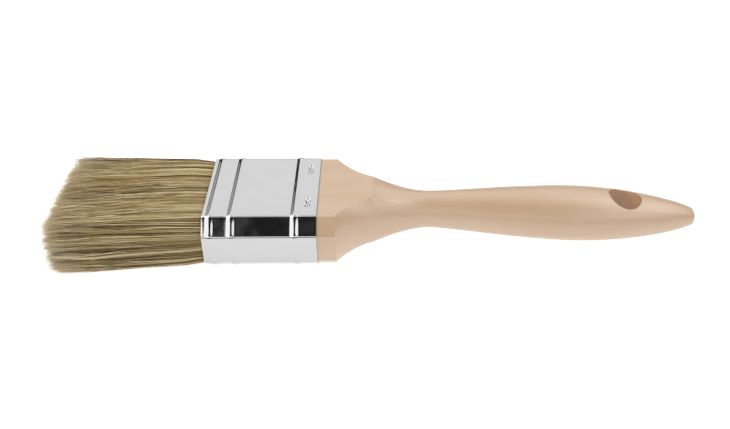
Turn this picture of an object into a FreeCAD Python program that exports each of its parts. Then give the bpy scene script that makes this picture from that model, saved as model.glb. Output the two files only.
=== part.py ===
"""Flat paint brush, 50 mm wide, lying on its broad face.

Row frame: +X runs along the brush from the bristle tips to the handle's end, +Y across its
width, and +Z through its thickness, towards the upper broad face. The origin is the centre of
the hanging hole. Every piece is drawn from the ferrule's mouth, where X is 0 and the bristles
come out, and is then placed so that the hole's centre is the origin. Sizes are in millimetres.
"""
import FreeCAD, Part
import os
from math import atan2, pi, sin, sqrt

import Sketcher

os.makedirs("parts", exist_ok=True)
doc = FreeCAD.newDocument("paint_brush")

# ---------------------------------------------------------------- driving sizes

SIZES = [
    # The ferrule: a band of plated sheet, bent to a long octagon.
    ("ferrule_width", 50.0),
    ("ferrule_thickness", 22.5),
    ("ferrule_length", 42.2),
    ("ferrule_facet", 5.6),          # leg of each 45 degree corner
    ("sheet_wall", 0.4),
    ("bend_radius", 1.3),            # outside of the bends between the flats
    ("lip_curl", 0.25),              # the mouth's edge is turned in by this much
    ("lip_length", 1.2),
    ("bead_width", 3.1),
    ("bead_height", 0.45),
    ("front_bead_place", 3.05),      # middle of a pressed bead, from the mouth
    ("middle_bead_place", 10.9),
    ("rear_bead_setback", 8.0),      # middle of the third bead, from the rear edge
    ("seam_gap", 0.12),
    # The stakes: dimples punched through the band into the wood.
    ("stake_setback", 3.6),          # from the rear edge
    ("stake_spread", 11.0),          # half the distance between the two on one face
    ("stake_length", 5.4),
    ("stake_width", 2.3),
    ("stake_waist", 1.5),
    ("stake_head", 1.6),             # length of each wide head of the punch
    ("stake_depth", 0.9),
    ("stake_clearance", 0.15),
    # What fills the ferrule.
    ("fit_clearance", 0.1),
    ("block_insert", 18.0),          # wood inside the ferrule
    ("setting_depth", 11.0),         # resin, from the wood towards the mouth
    ("strip_thickness", 2.2),
    ("strip_width", 40.0),
    ("strip_margin", 0.95),          # from the facet's inner edge to a strip's outer face
    ("strip_bite", 5.0),             # how deep a strip stands in the resin
    ("strip_setback", 4.3),          # from the mouth to a strip's front edge
    # The bristles.
    ("bristle_out", 59.5),
    ("bristle_flare", 1.6),          # the tips spread past the ferrule on each narrow side
    ("bristle_sag", 1.5),            # the tips hang below the ferrule's mid plane
    ("bristle_tip_facet", 6.0),
    # The handle.
    ("handle_out", 144.8),           # from the ferrule's rear edge to the end
    ("block_out", 6.8),              # where the shoulders start, from the ferrule's rear edge
    ("shoulder_length", 13.7),       # from there to the edge of the thumb ramp
    ("shoulder_inset", 0.25),        # the shoulder cutter bites this far into the block
    ("shoulder_bulge", 5.6),         # how far the cut sides stand out between the broad faces
    ("shoulder_end_half_width", 12.6),
    ("neck_place", 41.8),            # thinnest point, from the ferrule's rear edge
    ("neck_radius", 7.1),
    ("belly_place", 99.8),
    ("belly_half_width", 11.6),
    ("belly_half_thickness", 10.25),
    ("grip_drop", 4.2),              # how far the end hangs below the ferrule's mid plane
    ("hole_from_end", 27.5),
    ("hole_radius", 6.25),
    ("hole_rim", 0.35),              # radius of the eased edge round each mouth of the hole
    ("end_round", 1.2),              # radius of the eased edge round the handle's blunt end
]

sheet = doc.addObject("Spreadsheet::Sheet", "Sizes")
for row, (alias, value) in enumerate(SIZES, start=1):
    sheet.set(f"A{row}", alias)
    sheet.set(f"B{row}", str(value))
    sheet.setAlias(f"B{row}", alias)
doc.recompute()


def size(expression):
    """The value of an expression in the sheet's names, such as 'ferrule_width / 2'."""
    return float(sheet.evalExpression(expression))


def bound(expression):
    """The same expression as another object must write it, with the sheet named."""
    words = expression.replace("(", "( ").replace(")", " )").split()
    names = {alias for alias, _ in SIZES}
    return " ".join(f"Sizes.{word}" if word in names else word for word in words)


def bind(item, prop, expression):
    item.setExpression(prop, bound(expression))


# Places along the brush, measured from the mouth. The hole's centre carries every piece into
# the row frame.
HOLE_PLACE = "( ferrule_length + handle_out - hole_from_end )"
STAKE_PLACE = "( ferrule_length - stake_setback )"
BLOCK_FRONT = "( ferrule_length - block_insert )"
SETTING_FRONT = "( ferrule_length - block_insert - setting_depth )"
# From the ferrule's outside to the surface of what fills it.
INSIDE = "sheet_wall + fit_clearance"
# The middle of each filler strip, from the mid plane.
STRIP_SPREAD = "( ferrule_thickness / 2 - ferrule_facet - strip_margin - strip_thickness / 2 )"


def finish(item, label):
    """Name a finished sub-part and move it from the mouth's frame to the row frame."""
    item.Label = label
    bind(item, "Placement.Base.x", f"0 - {HOLE_PLACE}")
    return item


# ---------------------------------------------------------------- drawing helpers

def origin_plane(body, role):
    return next(item for item in body.Origin.OriginFeatures if item.Role == role)


def new_sketch(body, name, role, offset="0"):
    """A sketch on one of the body's own origin planes, moved along its normal."""
    sketch = body.newObject("Sketcher::SketchObject", name)
    sketch.AttachmentSupport = (origin_plane(body, role), [""])
    sketch.MapMode = "FlatFace"
    bind(sketch, "AttachmentOffset.Base.z", offset)
    return sketch


def pin_point(sketch, edge, end, across, up):
    """Hold one end of an edge at a place given by two expressions."""
    for kind, expression in (("DistanceX", across), ("DistanceY", up)):
        number = sketch.addConstraint(Sketcher.Constraint(kind, edge, end, size(expression)))
        bind(sketch, f"Constraints[{number}]", expression)


def arc_over(start, end, radius):
    """An arc that bulges upwards between two level points."""
    middle = (start + end) * 0.5
    half = abs(end.x - start.x) / 2
    centre = FreeCAD.Vector(middle.x, middle.y - sqrt(radius * radius - half * half), 0)
    right = atan2(middle.y - centre.y, half)
    return Part.ArcOfCircle(Part.Circle(centre, FreeCAD.Vector(0, 0, 1), radius),
                            right, pi - right)


def draw_outline(sketch, corners):
    """A closed outline. Each corner is a pair of expressions, and a third one, if there is one,
    is the radius of an arc that leads to the next corner. Without it the edge is straight.
    """
    places = [FreeCAD.Vector(size(corner[0]), size(corner[1]), 0) for corner in corners]
    first = sketch.GeometryCount
    ends = []
    for corner, place, following in zip(corners, places, places[1:] + places[:1]):
        if len(corner) == 2:
            sketch.addGeometry(Part.LineSegment(place, following), False)
            ends.append((1, 2))
            continue
        number = sketch.addGeometry(arc_over(place, following, size(corner[2])), False)
        radius = sketch.addConstraint(Sketcher.Constraint("Radius", number, size(corner[2])))
        bind(sketch, f"Constraints[{radius}]", corner[2])
        # An arc is kept counterclockwise, so one that is drawn to the right starts at its end.
        ends.append((2, 1) if following.x > place.x else (1, 2))
    for number, corner in enumerate(corners):
        edge = first + number
        following = (number + 1) % len(corners)
        sketch.addConstraint(Sketcher.Constraint("Coincident", edge, ends[number][1],
                                                 first + following, ends[following][0]))
        pin_point(sketch, edge, ends[number][0], corner[0], corner[1])


def octagon(inset, centre="0", half_width="ferrule_width / 2",
            half_thickness="ferrule_thickness / 2", facet="ferrule_facet"):
    """The ferrule's octagon moved in by a distance all round, as Y, Z expressions."""
    side = f"{half_width} - ( {inset} )"
    broad = f"{half_thickness} - ( {inset} )"
    leg = f"( {facet} - ( {inset} ) * {2 - sqrt(2)} )"
    quarter = [(f"{side} - {leg}", f"{broad}"), (f"{side}", f"{broad} - {leg}")]
    signs = ((1, 1, 1), (1, -1, -1), (-1, -1, 1), (-1, 1, -1))
    corners = []
    for across, up, order in signs:
        for y, z in quarter[::order]:
            corners.append((f"{across} * ( {y} )", f"{up} * ( {z} ) + {centre}"))
    return corners


def pad(body, sketch, name, length, backwards=False):
    feature = body.newObject("PartDesign::Pad", name)
    feature.Profile = sketch
    bind(feature, "Length", length)
    feature.Reversed = backwards
    return feature


def pocket(body, sketch, name, depth, backwards=False):
    """A pocket, which has to take material away."""
    doc.recompute()
    before = body.Shape.Volume
    feature = body.newObject("PartDesign::Pocket", name)
    feature.Profile = sketch
    bind(feature, "Length", depth)
    feature.Reversed = backwards
    doc.recompute()
    if body.Shape.Volume >= before - 1e-6:
        raise ValueError(f"{name} cuts nothing")
    return feature


# ---------------------------------------------------------------- ferrule

def wall_profile():
    """The band's wall along the brush, as X, Y expressions at its +Y narrow side.

    Both faces of the sheet follow the same path, so that it keeps its thickness: a curled lip,
    and three pressed beads, each a low arc.
    """
    radius = "( bead_width * bead_width / 4 + bead_height * bead_height ) / ( 2 * bead_height )"
    outside = "ferrule_width / 2"
    inside = "ferrule_width / 2 - sheet_wall"
    beads = ("front_bead_place", "middle_bead_place", "ferrule_length - rear_bead_setback")
    outer = [("0", f"{outside} - lip_curl"), ("lip_length", outside)]
    for bead in beads:
        outer.append((f"{bead} - bead_width / 2", outside, radius))
        outer.append((f"{bead} + bead_width / 2", outside))
    outer.append(("ferrule_length", outside))
    inner = [("ferrule_length", inside)]
    for bead in reversed(beads):
        inner.append((f"{bead} + bead_width / 2", inside, radius))
        inner.append((f"{bead} - bead_width / 2", inside))
    inner += [("lip_length", inside), ("0", f"{inside} - lip_curl")]
    return outer + inner


def make_ferrule():
    body = doc.addObject("PartDesign::Body", "ferrule")

    spine = new_sketch(body, "ferrule_spine", "YZ_Plane")
    draw_outline(spine, octagon("bend_radius"))
    wall = new_sketch(body, "ferrule_wall", "XY_Plane")
    draw_outline(wall, wall_profile())

    band = body.newObject("PartDesign::AdditivePipe", "ferrule_band")
    band.Profile = wall
    band.Spine = (spine, [f"Edge{number}" for number in range(1, 9)])
    band.Transition = "Round corner"

    lugs = new_sketch(body, "stake_lugs", "XY_Plane", "ferrule_thickness / 2 - sheet_wall / 2")
    recesses = new_sketch(body, "stake_recesses", "XY_Plane", "ferrule_thickness / 2")
    for side in ("-1", "1"):
        draw_outline(lugs, stake_outline(side, "sheet_wall"))
        draw_outline(recesses, stake_outline(side, "0"))
    lug = pad(body, lugs, "stake_lug", "stake_depth + sheet_wall / 2", backwards=True)
    recess = pocket(body, recesses, "stake_recess", "stake_depth")

    both_faces = body.newObject("PartDesign::Mirrored", "stakes_on_both_faces")
    both_faces.Originals = [lug, recess]
    both_faces.MirrorPlane = (origin_plane(body, "XY_Plane"), [""])
    body.Tip = both_faces

    seam = new_sketch(body, "ferrule_seam", "XZ_Plane")
    draw_outline(seam, [
        ("-1", "0 - seam_gap / 2"),
        ("ferrule_length + 1", "0 - seam_gap / 2"),
        ("ferrule_length + 1", "seam_gap / 2"),
        ("-1", "seam_gap / 2"),
    ])
    pocket(body, seam, "seam", "ferrule_width")
    return finish(body, "ferrule")


def stake_outline(side, margin):
    """A spool shape round one stake, grown by a margin, as X, Y expressions.

    The punch has two wide heads and a narrower waist between them.
    """
    half_length = f"( stake_length / 2 + {margin} )"
    half_width = f"( stake_width / 2 + {margin} )"
    half_waist = f"( stake_waist / 2 + {margin} )"
    half_tip = f"( {half_width} / 2 )"
    steps = [
        (half_waist, "( stake_length / 2 - stake_head )"),
        (half_width, "( stake_length / 2 - stake_head / 2 )"),
        (half_tip, half_length),
    ]
    corners = []
    for along, across, order in ((1, 1, 1), (-1, 1, -1), (-1, -1, 1), (1, -1, -1)):
        for out, up in steps[::order]:
            corners.append((f"{STAKE_PLACE} + {along} * {out}",
                            f"{side} * stake_spread + {across} * {up}"))
    return corners


# ---------------------------------------------------------------- inside the ferrule

def strip_rectangle(side):
    """A filler strip seen along the brush, as Y, Z expressions."""
    low = f"{side} * {STRIP_SPREAD} - strip_thickness / 2"
    high = f"{side} * {STRIP_SPREAD} + strip_thickness / 2"
    return [("0 - strip_width / 2", low), ("strip_width / 2", low),
            ("strip_width / 2", high), ("0 - strip_width / 2", high)]


def make_setting():
    """The resin that holds the bristle roots, with a slot for each filler strip."""
    body = doc.addObject("PartDesign::Body", "resin_setting")
    section = new_sketch(body, "setting_section", "YZ_Plane", SETTING_FRONT)
    draw_outline(section, octagon(INSIDE))
    pad(body, section, "setting_block", "setting_depth")
    slots = new_sketch(body, "setting_slots", "YZ_Plane", SETTING_FRONT)
    for side in ("-1", "1"):
        draw_outline(slots, strip_rectangle(side))
    pocket(body, slots, "setting_slot", "strip_bite", backwards=True)
    return finish(body, "resin_setting")


def make_strip(label, side):
    """A thin wooden strip that parts the roots and wedges them against the band."""
    body = doc.addObject("PartDesign::Body", label)
    section = new_sketch(body, f"{label}_section", "YZ_Plane", "strip_setback")
    draw_outline(section, strip_rectangle(side))
    pad(body, section, f"{label}_length", f"{SETTING_FRONT} + strip_bite - strip_setback")
    return finish(body, label)


# ---------------------------------------------------------------- bristles

def pack_section(low, high, inset, centre="0", half_width="ferrule_width / 2",
                 half_thickness="ferrule_thickness / 2", facet="ferrule_facet"):
    """The part of the octagon between two heights, as Y, Z expressions.

    A pack that reaches the upper or lower broad face takes that face's two corners. The middle
    pack has straight sides.
    """
    ring = octagon(inset, centre, half_width, half_thickness, facet)
    side = f"( {half_width} - ( {inset} ) )"
    if high is None:
        return [(f"0 - {side}", low), (side, low), ring[1], ring[0], ring[7], ring[6]]
    if low is None:
        return [(side, high), (f"0 - {side}", high), ring[5], ring[4], ring[3], ring[2]]
    return [(f"0 - {side}", low), (side, low), (side, high), (f"0 - {side}", high)]


def make_pack(label, low_side, high_side):
    """A pack of bristle from the resin to the tips.

    Its inner faces lie against the filler strips, close on the next pack at the mouth, and stay
    against it to the tips.
    """
    body = doc.addObject("PartDesign::Body", label)
    mouth_inset = f"{INSIDE} + lip_curl"
    tip = {
        "centre": "0 - bristle_sag",
        "half_width": "ferrule_width / 2 + bristle_flare",
        "half_thickness": "ferrule_thickness / 2",
        "facet": "bristle_tip_facet",
    }
    stations = (
        (SETTING_FRONT, INSIDE, "strip", {}),
        ("strip_setback", INSIDE, "strip", {}),
        ("0", mouth_inset, "closed", {}),
        ("0 - bristle_out", "0", "tip", tip),
    )
    sections = []
    for number, (place, inset, state, shape) in enumerate(stations):
        sketch = new_sketch(body, f"{label}_section_{number}", "YZ_Plane", place)
        low = parting(low_side, "1", state)
        high = parting(high_side, "-1", state)
        draw_outline(sketch, pack_section(low, high, inset, **shape))
        sections.append(sketch)
    loft = body.newObject("PartDesign::AdditiveLoft", f"{label}_loft")
    loft.Profile = sections[0]
    loft.Sections = sections[1:]
    loft.Ruled = True
    return finish(body, label)


def parting(side, away, state):
    """The height of a pack's inner face: beside a strip, or where two packs meet."""
    if side is None:
        return None
    if state == "strip":
        return f"{side} * {STRIP_SPREAD} + {away} * strip_thickness / 2"
    if state == "tip":
        return f"{side} * ferrule_thickness / 6 - bristle_sag"
    return f"{side} * {STRIP_SPREAD}"


# ---------------------------------------------------------------- handle

# How full the grip is: the crown and sides of each section meet at this share of its half
# sizes. ROUND makes an ellipse, and a larger share leaves four soft ridges.
ROUND = sqrt(0.5)
TAIL_FULLNESS = 0.76
# Exponents of the grip's outline: its swell from the neck to the belly, and its fall to the end.
SWELL = 1.3
FALL_START = 1.51
FALL_END = 0.608
# The fall aims past the end by this much, so that the end stays blunt.
FALL_OVERSHOOT = 4.0


# The plan of the shoulders lies between a parabola, at 0, and a straight line, at 1.
SHOULDER_SLOPE = 0.38
# Exponent of the ramps' fall from the shoulders to the neck.
RAMP_HOLLOW = 1.8


def arch(start, crown, end):
    """A round edge from one corner over a crown to the next, as a cubic curve.

    The crown is level with the middle of the two corners. A crown that lies between them gives
    a straight line.
    """
    middle = (start + end) * 0.5
    half = (end - start) * 0.5
    rise = crown - middle
    steep = rise.Length / half.Length
    handle = half * (2.0 / 3.0) * (1.0 - steep * steep)
    lift = rise * (4.0 / 3.0)
    curve = Part.BezierCurve()
    curve.setPoles([start, start + handle + lift, end - handle + lift, end])
    return curve.toShape()


def section(along, centre, half_width, half_thickness, corner_across, corner_up):
    """A closed section of the handle: four arches between four corners."""
    def place(across, up):
        return FreeCAD.Vector(along, across, centre + up)

    corners = [place(corner_across, corner_up), place(-corner_across, corner_up),
               place(-corner_across, -corner_up), place(corner_across, -corner_up)]
    crowns = [place(0, half_thickness), place(-half_width, 0),
              place(0, -half_thickness), place(half_width, 0)]
    edges = [arch(corners[side], crowns[side], corners[(side + 1) % 4]) for side in range(4)]
    return Part.Wire(edges)


def blend(start, end, share):
    return start + (end - start) * share


def shoulder_sections():
    """The flat-faced shoulders: hollow in plan, with sides that bulge between the faces."""
    start = size("ferrule_length + block_out")
    length = size("shoulder_length")
    half_thickness = size(f"ferrule_thickness / 2 - ( {INSIDE} )")
    wide = size(f"ferrule_width / 2 - ( {INSIDE} ) - shoulder_inset")
    narrow = size("shoulder_end_half_width")
    bulge = size("shoulder_bulge")
    sections = []
    for share in (0.0, 0.17, 0.35, 0.68, 1.0):
        left = 1.0 - share
        half_width = narrow + (wide - narrow) * blend(left * left, left, SHOULDER_SLOPE)
        sections.append(section(start + share * length, 0, half_width, half_thickness,
                                half_width - bulge, half_thickness))
    return sections


def ramp_sections():
    """The thumb ramps: both broad faces fall in a hollow from the shoulders to the neck."""
    start = size("ferrule_length + block_out + shoulder_length")
    neck = size("ferrule_length + neck_place")
    radius = size("neck_radius")
    top = size(f"ferrule_thickness / 2 - ( {INSIDE} )")
    wide = size("shoulder_end_half_width")
    flat = wide - size("shoulder_bulge")
    sections = []
    for share in (0.0, 0.2, 0.35, 0.56, 0.78, 1.0):
        hollow = (1.0 - share) ** RAMP_HOLLOW
        half_thickness = radius + (top - radius) * hollow
        half_width = radius + (wide - radius) * hollow
        corner_across = ROUND * radius + (flat - ROUND * radius) * (1.0 - share)
        corner_up = ROUND * radius + (top - ROUND * radius) * hollow
        sections.append(section(blend(start, neck, share), 0, half_width, half_thickness,
                                corner_across, corner_up))
    return sections


def grip_size(share, belly, neck, largest, overshoot):
    """Half the grip's size at a share of its length from the neck to the end."""
    if share <= belly:
        return neck + (largest - neck) * sin(pi / 2 * share / belly) ** SWELL
    fall = (share - belly) / (1.0 + overshoot - belly)
    return largest * (1.0 - fall ** FALL_START) ** FALL_END


def grip_sections():
    """The grip: a swell from the neck to the belly and a blunt, softly four-sided end."""
    neck = size("ferrule_length + neck_place")
    end = size("ferrule_length + handle_out")
    belly = size("( belly_place - neck_place ) / ( handle_out - neck_place )")
    radius = size("neck_radius")
    drop = size("grip_drop")
    overshoot = FALL_OVERSHOOT / (end - neck)
    sections = []
    for share in (0.0, 0.06, 0.16, 0.3, 0.43, 0.56, 0.66, 0.76, 0.85, 0.92, 0.97, 1.0):
        half_width = grip_size(share, belly, radius, size("belly_half_width"), overshoot)
        half_thickness = grip_size(share, belly, radius, size("belly_half_thickness"), overshoot)
        fullness = blend(ROUND, TAIL_FULLNESS, max(0.0, (share - belly) / (1.0 - belly)))
        sections.append(section(blend(neck, end, share), -drop * share, half_width,
                                half_thickness, fullness * half_width,
                                fullness * half_thickness))
    return sections


def sculpted(name, sections):
    """One stretch of the shaped wood, drawn through its sections."""
    form = doc.addObject("Part::Feature", name)
    form.Shape = Part.makeLoft(sections, True, False)
    return form


def make_handle():
    block = doc.addObject("PartDesign::Body", "handle_block")
    face = new_sketch(block, "block_section", "YZ_Plane", BLOCK_FRONT)
    draw_outline(face, octagon(INSIDE))
    pad(block, face, "block_length", "block_insert + block_out")

    shoulders = sculpted("handle_shoulders", shoulder_sections())
    ramps = sculpted("handle_ramps", ramp_sections())
    grip = sculpted("handle_grip", grip_sections())

    wood = doc.addObject("Part::MultiFuse", "handle_wood")
    wood.Shapes = [block, shoulders, ramps, grip]
    wood.Refine = False

    hole = doc.addObject("Part::Cylinder", "hanging_hole")
    bind(hole, "Radius", "hole_radius")
    bind(hole, "Height", "ferrule_thickness * 2")
    bind(hole, "Placement.Base.x", HOLE_PLACE)
    bind(hole, "Placement.Base.z", "0 - ferrule_thickness")

    dents = []
    for name, side, face_sign in (("dent_1", "-1", 1), ("dent_2", "1", 1),
                                  ("dent_3", "-1", -1), ("dent_4", "1", -1)):
        dents.append(make_dent(name, side, face_sign))

    drilled = doc.addObject("Part::Cut", "handle_drilled")
    drilled.Base = wood
    drilled.Tool = hole
    cutters = doc.addObject("Part::MultiFuse", "stake_dents")
    cutters.Shapes = dents
    dented = doc.addObject("Part::Cut", "handle_dented")
    dented.Base = drilled
    dented.Tool = cutters

    doc.recompute()
    handle = doc.addObject("Part::Fillet", "handle")
    handle.Base = dented
    handle.Edges = eased_edges(dented.Shape)
    return finish(handle, "handle")


def eased_edges(shape):
    """Each eased edge of the wood as its number and radius at both ends.

    They are the rims of the hanging hole and the outline of the blunt end.
    """
    centre = size(HOLE_PLACE)
    hole_radius = size("hole_radius")
    end = size("ferrule_length + handle_out")
    tolerance = 1e-3

    def on_hole(point):
        reach = ((point.x - centre) ** 2 + point.y ** 2) ** 0.5
        return abs(reach - hole_radius) < tolerance

    def on_end(point):
        return abs(point.x - end) < tolerance

    eased = []
    for number, edge in enumerate(shape.Edges, start=1):
        points = edge.discretize(5)
        along_hole = edge.BoundBox.XLength < tolerance and edge.BoundBox.YLength < tolerance
        if all(on_hole(point) for point in points) and not along_hole:
            eased.append((number, size("hole_rim"), size("hole_rim")))
        elif all(on_end(point) for point in points):
            eased.append((number, size("end_round"), size("end_round")))
    return eased


def make_dent(name, side, face_sign):
    """The dent that one stake makes in the block, with clearance all round."""
    margin = "( sheet_wall + stake_clearance )"
    depth = "( stake_depth + stake_clearance )"
    top = f"( ferrule_thickness / 2 - sheet_wall - {depth} )"
    dent = doc.addObject("Part::Box", name)
    bind(dent, "Length", f"stake_width + 2 * {margin}")
    bind(dent, "Width", f"stake_length + 2 * {margin}")
    bind(dent, "Height", f"2 * {depth}")
    bind(dent, "Placement.Base.x", f"{STAKE_PLACE} - stake_width / 2 - {margin}")
    bind(dent, "Placement.Base.y", f"{side} * stake_spread - stake_length / 2 - {margin}")
    low = top if face_sign > 0 else f"0 - {top} - 2 * {depth}"
    bind(dent, "Placement.Base.z", low)
    return dent


# ---------------------------------------------------------------- build, check, write

parts = [
    make_handle(),
    make_ferrule(),
    make_setting(),
    make_strip("filler_strip_front", "1"),
    make_strip("filler_strip_back", "-1"),
    make_pack("bristle_pack_front", "1", None),
    make_pack("bristle_pack_middle", "-1", "1"),
    make_pack("bristle_pack_back", None, "-1"),
]
doc.recompute()

for item in doc.Objects:
    if {"Invalid", "Error"} & set(item.State):
        raise ValueError(f"{item.Name} failed: {item.State}")
for piece in parts:
    if piece.Shape.isNull() or not piece.Shape.isValid():
        raise ValueError(f"{piece.Label} has no valid shape")
    if len(piece.Shape.Solids) != 1:
        raise ValueError(f"{piece.Label} is {len(piece.Shape.Solids)} solids, not one")

for piece in parts:
    piece.Shape.exportStep(f"parts/{piece.Label}.step")
    box = piece.Shape.BoundBox
    print(f"{piece.Label:22s} {piece.Shape.Volume:9.1f} mm3  "
          f"X {box.XMin:8.2f} {box.XMax:8.2f}  Y {box.YMin:7.2f} {box.YMax:7.2f}  "
          f"Z {box.ZMin:7.2f} {box.ZMax:7.2f}")
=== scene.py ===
# %% [markdown]
# # A flat paint brush
#
# A paint brush is three things held together by one metal band: a wooden handle, a tuft of
# bristles set in resin, and the ferrule, the bright band that grips them both. The CAD model
# gives every piece its real size and place. Here each surface gets its finish, and the plain
# solids that stand for the bristles become thousands of real hairs.

# %% Load the frame
from math import cos, pi, radians, sin, tan

import bpy
import numpy as np
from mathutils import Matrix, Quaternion, Vector
from mathutils.kdtree import KDTree


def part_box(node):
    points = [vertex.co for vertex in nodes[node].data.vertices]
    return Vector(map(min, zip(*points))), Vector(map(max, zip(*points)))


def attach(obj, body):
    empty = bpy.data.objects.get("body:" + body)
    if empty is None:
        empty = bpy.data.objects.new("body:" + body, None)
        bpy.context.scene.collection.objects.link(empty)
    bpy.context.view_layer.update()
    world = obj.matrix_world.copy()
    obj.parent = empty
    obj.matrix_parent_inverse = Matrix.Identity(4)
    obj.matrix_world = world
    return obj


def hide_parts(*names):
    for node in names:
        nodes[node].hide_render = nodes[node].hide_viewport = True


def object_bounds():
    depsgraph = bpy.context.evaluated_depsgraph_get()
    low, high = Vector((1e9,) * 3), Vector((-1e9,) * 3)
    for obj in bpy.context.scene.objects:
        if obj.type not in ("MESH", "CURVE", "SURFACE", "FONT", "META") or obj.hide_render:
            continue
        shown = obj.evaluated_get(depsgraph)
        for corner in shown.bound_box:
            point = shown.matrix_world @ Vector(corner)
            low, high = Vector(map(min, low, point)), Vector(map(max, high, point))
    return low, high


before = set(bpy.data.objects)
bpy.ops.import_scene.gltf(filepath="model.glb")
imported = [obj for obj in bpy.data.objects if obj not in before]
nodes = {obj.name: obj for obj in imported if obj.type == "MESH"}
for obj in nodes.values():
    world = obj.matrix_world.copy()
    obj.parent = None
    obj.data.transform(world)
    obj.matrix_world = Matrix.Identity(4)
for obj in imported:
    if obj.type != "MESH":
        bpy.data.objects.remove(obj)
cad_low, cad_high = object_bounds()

MM = 0.001
BODY = "root"
centre = (cad_low + cad_high) / 2
print("pieces from CAD:", sorted(nodes))
print("size in mm:", [round(side / MM, 1) for side in cad_high - cad_low])

# %% [markdown]
# ## The camera
#
# A brush like this is shown lying flat, seen from above its near side, so that the broad face,
# the bevel and the narrow side all show. A camera could be placed by its coordinates, but it is
# easier to think of it as standing off from an aim point: how far round, how far up and how far
# away. A small roll is added last, about the line of sight.

# %% Camera
CAMERA_AROUND = radians(1.37)
CAMERA_UP = radians(36.6)
CAMERA_ROLL = radians(-1.18)
CAMERA_DISTANCE = 344.7 * MM
CAMERA_LENS = 44.04
# The aim point, from the middle of the brush.
AIM_ALONG = -4.1 * MM
AIM_ACROSS = -3.5 * MM


def direction(around, up):
    """A unit vector from the object, where around 0 is the near side and up is the height."""
    return Vector((sin(around) * cos(up), -cos(around) * cos(up), sin(up)))


def look_along(line):
    """The turn that points a camera or a lamp along a line, upright."""
    return line.to_track_quat("-Z", "Y")


aim = Vector((centre.x + AIM_ALONG, centre.y + AIM_ACROSS, 0))
to_camera = direction(CAMERA_AROUND, CAMERA_UP)
camera = bpy.data.objects.new("camera", bpy.data.cameras.new("camera"))
camera.data.lens = CAMERA_LENS
camera.rotation_mode = "QUATERNION"
camera.location = aim + to_camera * CAMERA_DISTANCE
camera.rotation_quaternion = look_along(-to_camera) @ Quaternion((0, 0, 1), CAMERA_ROLL)
bpy.context.scene.collection.objects.link(camera)
bpy.context.scene.camera = camera
print("camera at, in mm:", [round(place / MM, 1) for place in camera.location])

# %% [markdown]
# ## Building node trees
#
# Materials here are built from nodes, so a few small helpers save a lot of repetition. The two
# that matter most are the one that adds a node and sets its values, and the one that makes a
# shader node group with named sockets. A group is built once and placed in every material that
# needs its effect, each time with other values.

# %% Node helpers
def add_node(tree, kind, inputs=None, **settings):
    """Add a node. A value in inputs is either a constant or another node's output socket."""
    node = tree.nodes.new(kind)
    for name, value in settings.items():
        setattr(node, name, value)
    for key, value in (inputs or {}).items():
        if isinstance(value, bpy.types.NodeSocket):
            tree.links.new(value, node.inputs[key])
        else:
            node.inputs[key].default_value = value
    return node


def math_node(tree, operation, *values):
    """One sum on values or sockets, and its result."""
    inputs = dict(enumerate(values))
    return add_node(tree, "ShaderNodeMath", inputs, operation=operation).outputs[0]


def remap(tree, value, low, high, to_low=0.0, to_high=1.0):
    """Stretch a stretch of values onto another, and stop at its ends."""
    inputs = {"Value": value, 1: low, 2: high, 3: to_low, 4: to_high}
    return add_node(tree, "ShaderNodeMapRange", inputs).outputs[0]


def mix_colour(tree, share, first, second):
    """Lay the second colour over the first one."""
    node = add_node(tree, "ShaderNodeMix", data_type="RGBA")
    # The sockets for colours come after those for plain values, so they are picked by number.
    for key, value in ((0, share), (6, first), (7, second)):
        if isinstance(value, bpy.types.NodeSocket):
            tree.links.new(value, node.inputs[key])
        else:
            node.inputs[key].default_value = value
    return node.outputs[2]


def rgb(red, green, blue):
    """A colour as shaders want it, from linear parts."""
    return (red, green, blue, 1.0)


def new_group(name, inputs, outputs):
    """A shader node group. Each socket is a name, a kind and, for an input, its usual value."""
    group = bpy.data.node_groups.new(name, "ShaderNodeTree")
    for socket, kind, value in inputs:
        made = group.interface.new_socket(socket, in_out="INPUT", socket_type=kind)
        made.default_value = value
    for socket, kind in outputs:
        group.interface.new_socket(socket, in_out="OUTPUT", socket_type=kind)
    return group, group.nodes.new("NodeGroupInput"), group.nodes.new("NodeGroupOutput")


def place_group(tree, group, **values):
    """Put a group in a material. A space in a socket's name is written as an underscore."""
    node = tree.nodes.new("ShaderNodeGroup")
    node.node_tree = group
    for name, value in values.items():
        socket = node.inputs[name.replace("_", " ")]
        if isinstance(value, bpy.types.NodeSocket):
            tree.links.new(value, socket)
        else:
            socket.default_value = value
    return node


def new_material(name):
    """A material with a Principled shader, and its tree and shader."""
    material = bpy.data.materials.new(name)
    material.use_nodes = True
    tree = material.node_tree
    tree.nodes.clear()
    shader = tree.nodes.new("ShaderNodeBsdfPrincipled")
    output = tree.nodes.new("ShaderNodeOutputMaterial")
    tree.links.new(shader.outputs["BSDF"], output.inputs["Surface"])
    return material, tree, shader


FLOAT, VECTOR = "NodeSocketFloat", "NodeSocketVector"

# %% [markdown]
# ## Floor and light
#
# Pale wood and bright metal are hard to light together: wood wants light from everywhere, and
# metal only looks like metal if it has something dark to reflect. A product table solves both.
# The floor is pale and glows, so it fills the undersides and swallows shadows, and the camera
# sees it brighter still, like a table that is lit until it turns white. One big screen stands
# behind and above, where the broad face of the band mirrors it, and a dim wall to its left greys
# the flanks of the beads. Boxes at both sides, high ones behind them and a low one in front
# light the wood and the hairs, and a dim strip overhead softens the bends. Nothing shines from
# above the camera, and the bevel mirrors that darkness.

# %% Floor
FLOOR_SIZE = 6.0
FLOOR_GREY = 0.45
# How much the floor glows, and how much brighter than that the camera sees it.
FLOOR_GLOW = 0.72
FLOOR_HAZE = 0.15


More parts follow.
